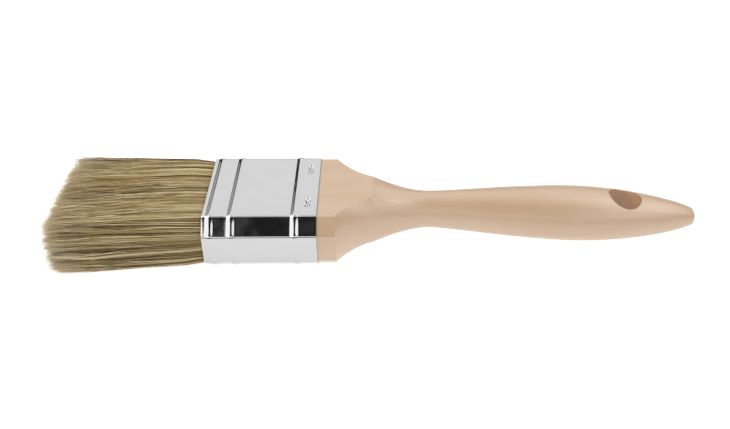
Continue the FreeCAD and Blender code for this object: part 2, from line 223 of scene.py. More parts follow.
def make_floor():
    """A wide pale floor at the height of the object's lowest point."""
    mesh = bpy.data.meshes.new("floor")
    half = FLOOR_SIZE / 2
    corners = [(-half, -half, 0), (half, -half, 0), (half, half, 0), (-half, half, 0)]
    mesh.from_pydata(corners, [], [(0, 1, 2, 3)])
    floor = bpy.data.objects.new("floor", mesh)
    floor.location = (centre.x, centre.y, cad_low.z)
    material, tree, shader = new_material("pale floor")
    shader.inputs["Base Color"].default_value = rgb(FLOOR_GREY, FLOOR_GREY, FLOOR_GREY)
    shader.inputs["Roughness"].default_value = 0.9
    shader.inputs["Specular IOR Level"].default_value = 0.1
    shader.inputs["Emission Color"].default_value = rgb(1, 1, 1)
    seen = add_node(tree, "ShaderNodeLightPath").outputs["Is Camera Ray"]
    glow = remap(tree, seen, 0.0, 1.0, FLOOR_GLOW, FLOOR_GLOW + FLOOR_HAZE)
    tree.links.new(glow, shader.inputs["Emission Strength"])
    mesh.materials.append(material)
    bpy.context.scene.collection.objects.link(floor)


make_floor()

# %% Lights
ROOM_LIGHT = 0.02
# Degrees round and up, the distance, width and height in metres, and the radiance.
SOFT_BOXES = {
    "screen_behind": (161, 45, 1.3, 1.85, 1.25, 1.09),
    "wall_left": (232, 30, 1.3, 0.95, 1.1, 0.5),
    "box_left": (-60, 35, 1.2, 1.2, 0.8, 1.5),
    "box_right": (60, 35, 1.2, 1.1, 0.7, 1.5),
    "box_low": (0, 23, 1.3, 2.2, 0.3, 1.6),
    "strip_above": (180, 84, 1.2, 1.6, 0.3, 0.9),
    "high_left": (-100, 51, 1.2, 1.0, 0.9, 1.8),
    "high_right": (100, 51, 1.2, 0.9, 0.8, 1.4)}


def soft_box(name, around, up, distance, width, height, radiance):
    """A softbox that faces the object. Its radiance is how bright it looks in a mirror."""
    lamp = bpy.data.lights.new(name, "AREA")
    lamp.shape = "RECTANGLE"
    lamp.size = width
    lamp.size_y = height
    lamp.energy = radiance * pi * width * height
    box = bpy.data.objects.new(name, lamp)
    box.rotation_mode = "QUATERNION"
    line = direction(radians(around), radians(up))
    box.location = centre + line * distance
    box.rotation_quaternion = look_along(-line)
    box.visible_camera = False
    bpy.context.scene.collection.objects.link(box)


for name, values in SOFT_BOXES.items():
    soft_box(name, *values)

world = bpy.data.worlds.new("studio")
world.use_nodes = True
bpy.context.scene.world = world
sky = world.node_tree.nodes["Background"]
seen = add_node(world.node_tree, "ShaderNodeLightPath").outputs["Is Camera Ray"]
brightness = remap(world.node_tree, seen, 0.0, 1.0, ROOM_LIGHT, 1.0)
world.node_tree.links.new(brightness, sky.inputs["Strength"])
sky.inputs["Color"].default_value = rgb(1, 1, 1)
bpy.context.scene.view_settings.view_transform = "Standard"

# %% [markdown]
# ## Shared surface effects
#
# Wood grain, the drawn lines in sheet metal and the streaks of a saw cut are one effect at
# different scales: noise that is stretched along the piece. It becomes a group with a length
# and a width. Fine unevenness is a second one: it turns noise into a bump.

# %% Streaks
def make_streaks():
    """Lines along X, from 0 to 1, as long and as wide as the inputs say, in millimetres."""
    group, given, result = new_group(
        "streaks along the piece",
        [("Length", FLOAT, 20.0), ("Width", FLOAT, 0.5), ("Waviness", FLOAT, 0.0),
         ("Low", FLOAT, 0.35), ("High", FLOAT, 0.65)],
        [("Streak", FLOAT)])
    place = add_node(group, "ShaderNodeTexCoord").outputs["Object"]
    metres = {"X": math_node(group, "MULTIPLY", given.outputs["Length"], MM),
              "Y": math_node(group, "MULTIPLY", given.outputs["Width"], MM)}
    metres["Z"] = metres["Y"]
    bend = add_node(group, "ShaderNodeTexNoise", {"Vector": place, "Scale": 25.0, "Detail": 1.0})
    off_middle = add_node(group, "ShaderNodeVectorMath",
                          {0: bend.outputs["Color"], 1: (0.5, 0.5, 0.5)}, operation="SUBTRACT")
    amount = math_node(group, "MULTIPLY", given.outputs["Waviness"], MM)
    pushed = add_node(group, "ShaderNodeVectorMath",
                      {0: off_middle.outputs[0], "Scale": amount}, operation="SCALE")
    moved = add_node(group, "ShaderNodeVectorMath", {0: place, 1: pushed.outputs[0]})
    size = add_node(group, "ShaderNodeCombineXYZ", metres)
    stretched = add_node(group, "ShaderNodeVectorMath",
                         {0: moved.outputs[0], 1: size.outputs[0]}, operation="DIVIDE")
    noise = add_node(group, "ShaderNodeTexNoise",
                     {"Vector": stretched.outputs[0], "Scale": 1.0, "Detail": 3.0,
                      "Roughness": 0.6})
    group.links.new(remap(group, noise.outputs["Fac"], given.outputs["Low"],
                          given.outputs["High"]), result.inputs["Streak"])
    return group


streaks = make_streaks()
print("group:", streaks.name)


# %% Unevenness
FINE_SHARE = 0.3


def make_unevenness():
    """A bump from two sizes of noise, whose sizes and height are in millimetres."""
    group, given, result = new_group(
        "uneven surface",
        [("Size", FLOAT, 1.0), ("Fine Size", FLOAT, 0.2), ("Height", FLOAT, 0.02),
         ("Streak", FLOAT, 0.5), ("Streak Height", FLOAT, 0.0)],
        [("Normal", VECTOR), ("Value", FLOAT)])
    place = add_node(group, "ShaderNodeTexCoord").outputs["Object"]
    heights = []
    for name in ("Size", "Fine Size"):
        scale = math_node(group, "DIVIDE", 1.0 / MM, given.outputs[name])
        noise = add_node(group, "ShaderNodeTexNoise",
                         {"Vector": place, "Scale": scale, "Detail": 2.0})
        heights.append(noise.outputs["Fac"])
    fine = math_node(group, "MULTIPLY", heights[1], FINE_SHARE)
    both = math_node(group, "ADD", heights[0], fine)
    tall = math_node(group, "MULTIPLY", both, given.outputs["Height"])
    lines = math_node(group, "MULTIPLY", given.outputs["Streak"],
                      given.outputs["Streak Height"])
    metres = math_node(group, "MULTIPLY", math_node(group, "ADD", tall, lines), MM)
    bump = add_node(group, "ShaderNodeBump", {"Height": metres, "Distance": 1.0})
    group.links.new(bump.outputs["Normal"], result.inputs["Normal"])
    group.links.new(heights[0], result.inputs["Value"])
    return group


unevenness = make_unevenness()
print("group:", unevenness.name)

# %% [markdown]
# ## Beech
#
# The handle is plain sanded beech: a pale, pinkish wood with broad soft bands, very fine grain
# lines along the handle and a scatter of tiny brown flecks, which are the ends of its rays. A
# thin satin lacquer lies over it, as a coat on the shader, and gives the faces that look
# towards a lamp their pale veil.
# The effects are read in the object's own space, so that the grain runs through the wood as
# it does in a real block and comes out right on every face, even inside the hanging hole.

# %% Beech material
BEECH = rgb(0.59, 0.386, 0.228)
BEECH_WARM = rgb(0.545, 0.325, 0.175)
BEECH_PALE = rgb(0.625, 0.444, 0.295)
FLECK = rgb(0.30, 0.17, 0.10)
PLAIN_SHARE = 0.45
GRAIN_SHARE = 0.22
FLECK_SHARE = 0.45
BEECH_ROUGHNESS = (0.36, 0.46)


def make_beech():
    """Sanded beech with bands, fine grain and flecks, under a satin lacquer."""
    material, tree, shader = new_material("sanded beech")
    bands = place_group(tree, streaks, Length=90.0, Width=7.0, Waviness=6.0, Low=0.3, High=0.7)
    grain = place_group(tree, streaks, Length=14.0, Width=0.35, Waviness=2.0)
    flecks = place_group(tree, streaks, Length=1.3, Width=0.16, Low=0.69, High=0.76)
    colour = mix_colour(tree, bands.outputs["Streak"], BEECH_WARM, BEECH_PALE)
    colour = mix_colour(tree, PLAIN_SHARE, colour, BEECH)
    lines = math_node(tree, "MULTIPLY", grain.outputs["Streak"], GRAIN_SHARE)
    colour = mix_colour(tree, lines, colour, BEECH_WARM)
    spots = math_node(tree, "MULTIPLY", flecks.outputs["Streak"], FLECK_SHARE)
    colour = mix_colour(tree, spots, colour, FLECK)
    tree.links.new(colour, shader.inputs["Base Color"])
    rough = remap(tree, grain.outputs["Streak"], 0.0, 1.0, *BEECH_ROUGHNESS)
    tree.links.new(rough, shader.inputs["Roughness"])
    uneven = place_group(tree, unevenness, Size=2.5, Fine_Size=0.3, Height=0.012,
                         Streak=grain.outputs["Streak"], Streak_Height=0.01)
    tree.links.new(uneven.outputs["Normal"], shader.inputs["Normal"])
    shader.inputs["Specular IOR Level"].default_value = 0.9
    shader.inputs["Coat Weight"].default_value = 1.0
    shader.inputs["Coat IOR"].default_value = 1.78
    shader.inputs["Coat Roughness"].default_value = 0.4
    return material


def dress(node, material):
    """Give a CAD node one finish all over, in place of what it came with."""
    mesh = nodes[node].data
    mesh.materials.clear()
    mesh.materials.append(material)
    print(node, "wears", material.name)


dress("handle", make_beech())

# %% [markdown]
# ## Bright nickel
#
# The ferrule is thin steel sheet with bright nickel on it. Its flats aren't true mirrors: the
# sheet is a little wavy where it was bent and pressed, so reflections wobble beside the beads,
# and fingers and handling leave a faint haze. The wave is a bump, and the haze is roughness.

# %% Nickel material
NICKEL = rgb(0.61, 0.60, 0.595)
NICKEL_HAZY = rgb(0.58, 0.58, 0.59)
NICKEL_ROUGHNESS = (0.07, 0.16)


def make_nickel():
    """Bright nickel on thin sheet."""
    material, tree, shader = new_material("bright nickel")
    haze = place_group(tree, unevenness, Size=6.0, Fine_Size=1.0, Height=0.0)
    drawn = place_group(tree, streaks, Length=0.12, Width=9.0, Low=0.3, High=0.7)
    uneven = place_group(tree, unevenness, Size=7.0, Fine_Size=1.1, Height=0.035,
                         Streak=drawn.outputs["Streak"], Streak_Height=0.0004)
    tree.links.new(uneven.outputs["Normal"], shader.inputs["Normal"])
    rough = remap(tree, haze.outputs["Value"], 0.35, 0.65, *NICKEL_ROUGHNESS)
    tree.links.new(rough, shader.inputs["Roughness"])
    tone = mix_colour(tree, haze.outputs["Value"], NICKEL, NICKEL_HAZY)
    tree.links.new(tone, shader.inputs["Base Color"])
    shader.inputs["Metallic"].default_value = 1.0
    return material


nickel = make_nickel()

# %% [markdown]
# ## The ferrule
#
# The CAD model's band has the right size and holds the joint together, but its beads are plain
# arcs. On real sheet a pressed bead swells softly out of the flat, gets a little shallower
# where it runs round a bend, and the stakes are punched as two pits with a groove between them.
# Bright metal shows every one of those slopes, so the band is made again as a mesh: a loop of
# points round the brush, swept along it, with a height for every place. It could be modelled
# by hand and subdivided, but as a formula each bead and pit stays where the frame says.
#
# The points lie close together only where the surface curves. The cut edges are marked sharp,
# because smooth shading across them would draw a bright line along each one.

# %% Band sizes
ferrule_low, ferrule_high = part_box("ferrule")
BAND_LENGTH = ferrule_high.x - ferrule_low.x
BAND_FACET = 5.6 * MM
BAND_BEND = 1.9 * MM
BAND_WALL = 0.4 * MM
BEAD_HEIGHT = 0.45 * MM
BEAD_REACH = 1.75 * MM
BEAD_PLACES = (3.05 * MM, 10.9 * MM, BAND_LENGTH - 8.0 * MM)
# How much lower a bead is on a bend, and how near to the bend.
BEAD_LOWER = 0.32
BEAD_LOWER_NEAR = 1.3 * MM
LIP_CURL = 0.05 * MM
LIP_LENGTH = 1.2 * MM
EDGE_ROUND = 0.08 * MM
SEAM_GAP = 0.12 * MM
STAKE_PLACE = BAND_LENGTH - 3.6 * MM
STAKE_SPREAD = 11 * MM
PIT_SPREAD = 1.75 * MM
PIT_RADIUS = 1.2 * MM
PIT_DEPTH = 0.8 * MM
PIT_SLOPE = 0.55 * MM
GROOVE_HALF_WIDTH = 0.7 * MM
GROOVE_DEPTH = 0.4 * MM
GROOVE_SLOPE = 0.35 * MM
# A direction whose part along an axis is more than this counts as straight along it.
STRAIGHT = 0.99


def stations(length, step, fine):
    """Distances along a run. Each fine place is a middle, a reach and a smaller step."""
    runs = [np.linspace(0, length, max(2, round(length / step) + 1))]
    for middle, reach, small in fine:
        runs[0] = runs[0][np.abs(runs[0] - middle) >= reach]
        runs.append(np.arange(middle - reach, middle + reach, small))
    places = np.sort(np.concatenate(runs))
    return places[(places >= 0) & (places <= length)]


# %% The band's outline
FLAT_STEP = 1.4 * MM
STAKE_STEP = 0.2 * MM
STAKE_REACH_ACROSS = 3.6 * MM
BEND_STEPS = 8


def band_loop():
    """Points round the band from one side of its seam to the other, with their outward
    directions, and how far the nearest bend is.
    """
    half_width = ferrule_high.y - BEAD_HEIGHT
    half_height = ferrule_high.z - BEAD_HEIGHT
    low, flat = half_height - BAND_FACET, half_width - BAND_FACET
    corners = np.array([(half_width, low), (flat, half_height), (-flat, half_height),
                        (-half_width, low), (-half_width, -low), (-flat, -half_height),
                        (flat, -half_height), (half_width, -low)])
    tangent = BAND_BEND * tan(pi / 8)
    place = np.array((half_width, SEAM_GAP / 2))
    last = np.array((half_width, -SEAM_GAP / 2))
    points, outward, middles = [], [], []
    for corner, after in zip(corners, [*corners[1:], last]):
        way = (corner - place) / np.linalg.norm(corner - place)
        out = np.array((way[1], -way[0]))
        end = corner - way * tangent
        run = np.linalg.norm(end - place)
        broad = abs(out[1]) > STRAIGHT
        first = np.dot(place, way)
        fine = [(side * STAKE_SPREAD - first, STAKE_REACH_ACROSS, STAKE_STEP)
                for side in (-1, 1)]
        for distance in stations(run, FLAT_STEP, fine if broad else []):
            points.append(place + way * distance)
            outward.append(out)
        for angle in np.linspace(0, pi / 4, BEND_STEPS + 1)[1:-1]:
            turned = out * cos(angle) + way * sin(angle)
            points.append(end - out * BAND_BEND + turned * BAND_BEND)
            outward.append(turned)
        middles.append(corner)
        way = (after - corner) / np.linalg.norm(after - corner)
        place = corner + way * tangent
    for distance in stations(np.linalg.norm(last - place), FLAT_STEP, []):
        points.append(place + way * distance)
        outward.append((way[1], -way[0]))
    points = np.array(points)
    far = np.linalg.norm(points[:, None] - np.array(middles), axis=2).min(1)
    return points, np.array(outward), far


def swell(distance, reach):
    """A soft bump that is 1 in its middle and level where it ends."""
    return np.clip(1 - (distance / reach) ** 2, 0, 1) ** 2


def band_height(along, points, outward, far):
    """How far the sheet stands out at each point of the loop and each station along it."""
    beads = sum(swell(along - place, BEAD_REACH) for place in BEAD_PLACES) * BEAD_HEIGHT
    shallow = 1 - BEAD_LOWER * np.exp(-(far / BEAD_LOWER_NEAR) ** 2)
    lip = -LIP_CURL * np.clip(1 - along / LIP_LENGTH, 0, 1) ** 2
    height = beads[None] * shallow[:, None] + lip[None]
    along, across = np.meshgrid(along - STAKE_PLACE, np.abs(points[:, 0]) - STAKE_SPREAD)
    flat = np.abs(outward[:, 1:]) > STRAIGHT
    pit_gap = np.hypot(along, np.abs(across) - PIT_SPREAD)
    pits = PIT_DEPTH * np.clip((PIT_RADIUS - pit_gap) / PIT_SLOPE, 0, 1) ** 1.5
    to_side = GROOVE_HALF_WIDTH - np.abs(along)
    between = np.abs(across) < PIT_SPREAD
    groove = GROOVE_DEPTH * np.clip(to_side / GROOVE_SLOPE, 0, 1) * between
    return height - np.maximum(pits, groove) * flat


# %% Build the band
LONG_STEP = 1.6 * MM
BEAD_STEP = 0.17 * MM
STAKE_REACH_ALONG = 1.5 * MM
SHARP_EDGE = radians(30)


def make_band():
    """The ferrule as one bent sheet, open at its two ends and along its seam."""
    fine = [(place, BEAD_REACH, BEAD_STEP) for place in BEAD_PLACES]
    fine += [(STAKE_PLACE, STAKE_REACH_ALONG, STAKE_STEP),
             (LIP_LENGTH / 2, LIP_LENGTH / 2, STAKE_STEP)]
    along = stations(BAND_LENGTH, LONG_STEP, fine)
    along = np.unique(np.concatenate([along, [0, EDGE_ROUND, BAND_LENGTH - EDGE_ROUND,
                                              BAND_LENGTH]]))
    points, outward, far = band_loop()
    height = band_height(along, points, outward, far)
    edge = np.zeros_like(height)
    edge[:, [0, -1]] = EDGE_ROUND
    edge[[0, -1]] = EDGE_ROUND / 2
    shells = []
    for offset in (height - edge, height - BAND_WALL + edge):
        yz = points[:, None] + outward[:, None] * offset[..., None]
        x = np.broadcast_to(ferrule_low.x + along, offset.shape)
        shells.append(np.concatenate([x[..., None], yz], -1))
    number = np.arange(2 * height.size).reshape(2, *height.shape)
    outer, inner = number

    def quads(first, second):
        """Faces between two rows or sheets of vertex numbers."""
        grid = np.stack([first[:-1], first[1:], second[1:], second[:-1]], -1)
        return grid.reshape(-1, 4)

    faces = np.concatenate([
        quads(outer[:, :-1], outer[:, 1:]), quads(inner[:, 1:], inner[:, :-1]),
        quads(inner[:, 0], outer[:, 0]), quads(outer[:, -1], inner[:, -1]),
        quads(outer[0], inner[0]), quads(inner[-1], outer[-1])])
    mesh = bpy.data.meshes.new("ferrule_band")
    mesh.from_pydata(np.stack(shells).reshape(-1, 3), [], faces)
    mesh.shade_smooth()
    mesh.set_sharp_from_angle(angle=SHARP_EDGE)
    mesh.materials.append(nickel)
    band = bpy.data.objects.new("ferrule_band", mesh)
    bpy.context.scene.collection.objects.link(band)
    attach(band, BODY)
    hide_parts("ferrule")
    print("ferrule_band:", len(faces), "faces")


make_band()

# %% [markdown]
# ## Resin and filler strips
#
# Behind the bristles sits a block of set resin, and two thin strips of plain wood are pushed
# between the bristle packs to spread them. They are hidden in the finished brush, but whoever
# takes it apart sees them, so they have their own finishes: glossy amber and sawn pine.

# %% Resin and strip materials
AMBER = rgb(0.30, 0.17, 0.06)
AMBER_CLOUDY = rgb(0.42, 0.28, 0.13)
PINE_LATE = rgb(0.56, 0.38, 0.20)
PINE_EARLY = rgb(0.68, 0.52, 0.33)


def make_resin():
    """Set resin: amber, glossy and a little cloudy."""
    material, tree, shader = new_material("set resin")
    cloud = place_group(tree, unevenness, Size=4.0, Fine_Size=0.8, Height=0.05)
    colour = mix_colour(tree, cloud.outputs["Value"], AMBER, AMBER_CLOUDY)
    tree.links.new(colour, shader.inputs["Base Color"])
    tree.links.new(cloud.outputs["Normal"], shader.inputs["Normal"])
    shader.inputs["Roughness"].default_value = 0.18
    return material


def make_strip_wood():
    """Sawn pine, with marks across it from the saw."""
    material, tree, shader = new_material("sawn pine")
    grain = place_group(tree, streaks, Length=25.0, Width=0.8, Waviness=3.0)
    saw = place_group(tree, streaks, Length=0.5, Width=12.0)
    colour = mix_colour(tree, grain.outputs["Streak"], PINE_LATE, PINE_EARLY)
    tree.links.new(colour, shader.inputs["Base Color"])
    uneven = place_group(tree, unevenness, Size=1.0, Fine_Size=0.2, Height=0.02,
                         Streak=saw.outputs["Streak"], Streak_Height=0.03)
    tree.links.new(uneven.outputs["Normal"], shader.inputs["Normal"])
    shader.inputs["Roughness"].default_value = 0.7
    return material


dress("resin_setting", make_resin())
strip_wood = make_strip_wood()
for strip in ("filler_strip_front", "filler_strip_back"):
    dress(strip, strip_wood)

# %% [markdown]
# ## Hairs
#
# The tuft could be one solid with a hair texture, or Blender's own hair curves, but a solid has
# no fringe, and curves don't export as a mesh. So every hair is a real tube: three sides, a few
# rings and a fine tip. Numpy makes them all at once, because a loop over nearly eighteen
# thousand hairs in Python would be slow.
#
# What makes a tuft look real isn't the single hair but how they lie together. Hairs gather in
# locks, each lock has its own tone, drifts sideways, dives under its neighbours and comes up
# again, and that gives the light and dark streaks along a brush.

# %% Sizes of the tuft
resin_low, resin_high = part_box("resin_setting")
strip_low, strip_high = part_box("filler_strip_front")
tuft_low = Vector(map(min, *[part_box(f"bristle_pack_{name}")[0] for name in ("front", "back")]))
tuft_high = Vector(map(max, *[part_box(f"bristle_pack_{name}")[1] for name in ("front", "back")]))
MOUTH = ferrule_low.x
ROOT = resin_low.x
STRIP_END = strip_low.x
LENGTH = MOUTH - tuft_low.x
MOUTH_CLEARANCE = 0.08 * MM
MOUTH_HALF_WIDTH = resin_high.y - MOUTH_CLEARANCE
MOUTH_HALF_THICKNESS = resin_high.z - MOUTH_CLEARANCE
MOUTH_FACET = 5.3 * MM
TIP_HALF_WIDTH = tuft_high.y
SAG = 1.5 * MM
TIP_HALF_THICKNESS = -SAG - tuft_low.z
HAIR_RADIUS = 0.1 * MM
FLAG_RADIUS = 0.05 * MM
# The thinnest and the thickest hair, as shares of the usual radius.
THINNEST, THICKEST = 0.75, 1.15


def keep_inside(across, up):
    """Stop at the tuft's box, with room for the thickest hair."""
    room = THICKEST * HAIR_RADIUS
    return (np.clip(across, tuft_low.y + room, tuft_high.y - room),
            np.clip(up, tuft_low.z + room, tuft_high.z - room))


print("free length in mm:", round(LENGTH / MM, 1))


# %% Where the hairs stand
HAIR_STEP = 0.235 * MM
LOCK_FLATNESS = 1.4
WAVE_TURNS = (0.7, 2.4)
WAVE_CURVE = 0.7


def stand_hairs(step, random):
    """Points on an uneven grid inside the mouth's outline, which has cut corners."""
    across = np.arange(-MOUTH_HALF_WIDTH, MOUTH_HALF_WIDTH, step)
    up = np.arange(-MOUTH_HALF_THICKNESS, MOUTH_HALF_THICKNESS, step)
    grid = np.stack(np.meshgrid(across, up), -1).reshape(-1, 2)
    grid += random.uniform(-0.5, 0.5, grid.shape) * step
    out = np.abs(grid) / (MOUTH_HALF_WIDTH, MOUTH_HALF_THICKNESS)
    inside = (out < 1).all(1)
    corner = np.abs(grid).sum(1) < MOUTH_HALF_WIDTH + MOUTH_HALF_THICKNESS - MOUTH_FACET
    return grid[inside & corner]


def nearest(stand, hearts):
    """The number of the lock whose heart lies closest to each hair."""
    tree = KDTree(len(hearts))
    for number, (across, up) in enumerate(hearts):
        tree.insert((across, up * LOCK_FLATNESS, 0), number)
    tree.balance()
    return np.array([tree.find((across, up * LOCK_FLATNESS, 0))[1] for across, up in stand])


def wave(random, locks, greatest, share):
    """How far slow sine waves push each hair sideways, the same for a whole lock."""
    count = locks.max() + 1
    height = random.uniform(0, greatest, count)[locks][:, None]
    turns = random.uniform(*WAVE_TURNS, count)[locks][:, None]
    start = random.uniform(0, 2 * pi, count)[locks][:, None]
    return height * np.sin(2 * pi * turns * share + start) * share ** WAVE_CURVE


# %% [markdown]
# The hairs leave the band side by side, swell out a little just past its mouth and fan towards
# the tips, where the cut corners of the tuft fill out too. Each hair belongs to three locks at
# once: a large one, a smaller one and a thin strand of two or three hairs. Each kind of lock
# leans, wanders and draws its hairs together by its own amounts. The middle of the broad face
# leans to the near side, as it does on a brush that has been stroked one way. Hairs are shortest
# at the edges of the tuft, where the maker trims it round.
#
# Every movement grows along the hair with a power of how far out it is. A power above 1 starts
# gently, and one below 1 does most of its work near the band.

# %% How the hairs run
RINGS_OUT = 10
RING_CURVE = 0.9
# How many locks, their lean in mm, their least and greatest pull, and how far they wander in mm.
LOCK_KINDS = ((260, 0.5, 0.0, 0.06, 0.12),
              (1100, 0.5, 0.0, 0.2, 0.3),
              (7000, 0.6, 0.0, 0.35, 0.7))
MOUTH_BULGE = 0.6 * MM
BULGE_LENGTH = 0.8 * MM
CORNER_FILL = 1.3 * MM
CORNER_DEPTH = 3.0 * MM
SAG_CURVE = 1.3
FILL_CURVE = 0.7
LOCK_CURVE = 1.4
# A lock leans less up than sideways, wanders more up than sideways, and may lie deeper.
LEAN_UP = 0.6
WANDER_UP = 1.3
DEPTH_PER_MM = 0.035
DEPTH_SIDEWAYS = 0.5
STROKED = 4.0 * MM
STROKED_CURVE = 2
OWN_WAY = 0.28 * MM
OWN_CURVE = 1.5
STRAYS = 0.03
STRAY_WAY = 3.5
# The trim grows towards the edges of the tuft with these powers of how far out a hair stands.
TRIM_DEPTH = 1.9 * MM
TRIM_CURVE_ACROSS = 6
TRIM_CURVE_UP = 4
TRIM_SHARE_UP = 0.6
TRIM_MOST = 1.4
# After the trim, all hairs lose a little, most vary both ways, and some are a good deal shorter.
TRIM_EVENLY = 0.9 * MM
LENGTH_UNEVEN = 0.9 * MM
LENGTH_SHORTER = 2.0 * MM


def drawn_together(stand, locks, hearts, low, high, random):
    """How far each hair is drawn towards the heart of its lock."""
    pull = random.uniform(low, high, len(hearts))[locks][:, None]
    return pull * (hearts[locks] - stand)


def hair_lengths(side, height, random):
    """Lengths that are trimmed round at the edges and uneven from hair to hair."""
    count = len(side)
    edge = np.abs(side) ** TRIM_CURVE_ACROSS
    edge = edge + np.abs(height) ** TRIM_CURVE_UP * TRIM_SHARE_UP
    edge = np.clip(edge, 0, TRIM_MOST)
    length = LENGTH - TRIM_DEPTH * edge - TRIM_EVENLY
    length += random.normal(0, LENGTH_UNEVEN, count) - random.exponential(LENGTH_SHORTER, count)
    return np.minimum(length, LENGTH)


def run_hairs(stand, random):
    """The path of every hair as points in the row frame, its locks, and each point's share."""
    count = len(stand)
    side = stand[:, :1] / MOUTH_HALF_WIDTH
    height = stand[:, 1:] / MOUTH_HALF_THICKNESS
    share = np.linspace(0, 1, RINGS_OUT)[None] ** RING_CURVE
    out = share * hair_lengths(side[:, 0], height[:, 0], random)[:, None]
    spread = out / LENGTH
    widening = TIP_HALF_WIDTH - MOUTH_HALF_WIDTH
    thickening = TIP_HALF_THICKNESS - MOUTH_HALF_THICKNESS
    bulge = MOUTH_BULGE * (1 - np.exp(-out / BULGE_LENGTH)) * (1 - spread)
    across = side * (MOUTH_HALF_WIDTH + widening * spread + bulge)
    up = height * (MOUTH_HALF_THICKNESS + thickening * spread + bulge)
    up = up - SAG * spread ** SAG_CURVE
    # The cut corners of the mouth fill out towards the tips.
    reach = MOUTH_HALF_WIDTH + MOUTH_HALF_THICKNESS - MOUTH_FACET
    inside = reach - np.abs(stand).sum(1, keepdims=True)
    fill = CORNER_FILL * np.clip(1 - inside / CORNER_DEPTH, 0, 1) * spread ** FILL_CURVE
    across += np.sign(side) * fill
    up += np.sign(height) * fill
    # Some locks lie deeper than their neighbours, and leave a dark gap between them.
    families = []
    for number, lean, low, high, push in LOCK_KINDS:
        hearts = stand[random.choice(count, number, replace=False)]
        locks = nearest(stand, hearts)
        drift = random.normal(0, lean * MM, (number, 2))[locks] * (1, LEAN_UP)
        drift += drawn_together(stand, locks, hearts, low, high, random)
        across += drift[:, :1] * spread ** LOCK_CURVE
        up += drift[:, 1:] * spread ** LOCK_CURVE
        across += wave(random, locks, push * MM, spread)
        up += wave(random, locks, push * WANDER_UP * MM, spread)
        depth = random.exponential(push * DEPTH_PER_MM, number)[locks][:, None]
        across *= 1 - depth * DEPTH_SIDEWAYS
        up *= 1 - depth
        families.append(locks)
    # The broad face leans to the near side.
    middle = np.clip(height, 0, 1) ** 2 * np.clip(1 - side ** 2, 0, 1)
    across -= STROKED * middle * spread ** STROKED_CURVE
    # Each hair also goes its own way, and a few are strays.
    own = random.normal(0, OWN_WAY, (count, 2))
    own[random.random(count) < STRAYS] *= STRAY_WAY
    across += own[:, :1] * spread ** OWN_CURVE
    up += own[:, 1:] * spread ** OWN_CURVE
    across, up = keep_inside(across, up)
    return np.stack([MOUTH - out, across, up], -1), families, share.repeat(count, 0)


# %% [markdown]
# Good bristle is flagged: near its tip each hair splits into ends as fine as fluff. They hold the
# paint, and they make the pale soft edge that a new brush has. One more end for each hair is
# enough here: a thinner tube of its own that leaves the hair a little before its tip.

# %% Split ends
FLAG_LENGTH = 0.16
FLAG_RINGS = 4
# Where an end leaves its hair and how long it is, in steps between the hair's last two rings.
FLAG_ROOT = (0.9, 1.6)
FLAG_REACH = (0.9, 1.9)
FLAG_SPREAD = 0.42 * MM
FLAG_CURL = 0.2 * MM


def split_ends(paths, random):
    """Fine ends that leave the hairs near their tips."""
    count = len(paths)
    last, before = paths[:, -1], paths[:, -2]
    share = np.linspace(0, 1, FLAG_RINGS)[None, :, None]
    ahead = last - before
    root = last - ahead * random.uniform(*FLAG_ROOT, (count, 1))
    reach = ahead * random.uniform(*FLAG_REACH, (count, 1))
    reach[:, 1:] += random.normal(0, FLAG_SPREAD, (count, 2))
    ends = root[:, None] + reach[:, None] * share
    ends[..., 1:] += random.normal(0, FLAG_CURL, (count, 2))[:, None] * share ** 2
    ends[..., 0] = np.maximum(ends[..., 0], tuft_low.x)
    ends[..., 1], ends[..., 2] = keep_inside(ends[..., 1], ends[..., 2])
    shares = (1 - FLAG_LENGTH) + FLAG_LENGTH * share[:, :, 0].repeat(count, 0)
    return ends, shares


# %% [markdown]
# A tube round each path needs two directions across it. The paths all run nearly along X, so
# the brush's own Y and Z do well enough for all of them. Each hair is turned by a random angle,
# so that flat sides don't catch the light together.
#
# The tubes carry a map whose U is the hair's tone and whose V is the place along it. The
# material reads its colours from there, so each hair has one tone from end to end.

# %% Tubes
SIDES = 3
MAP_NAME = "OFBake"
TONE_STEPS = 96
TONE_WIDTH = 1 / TONE_STEPS


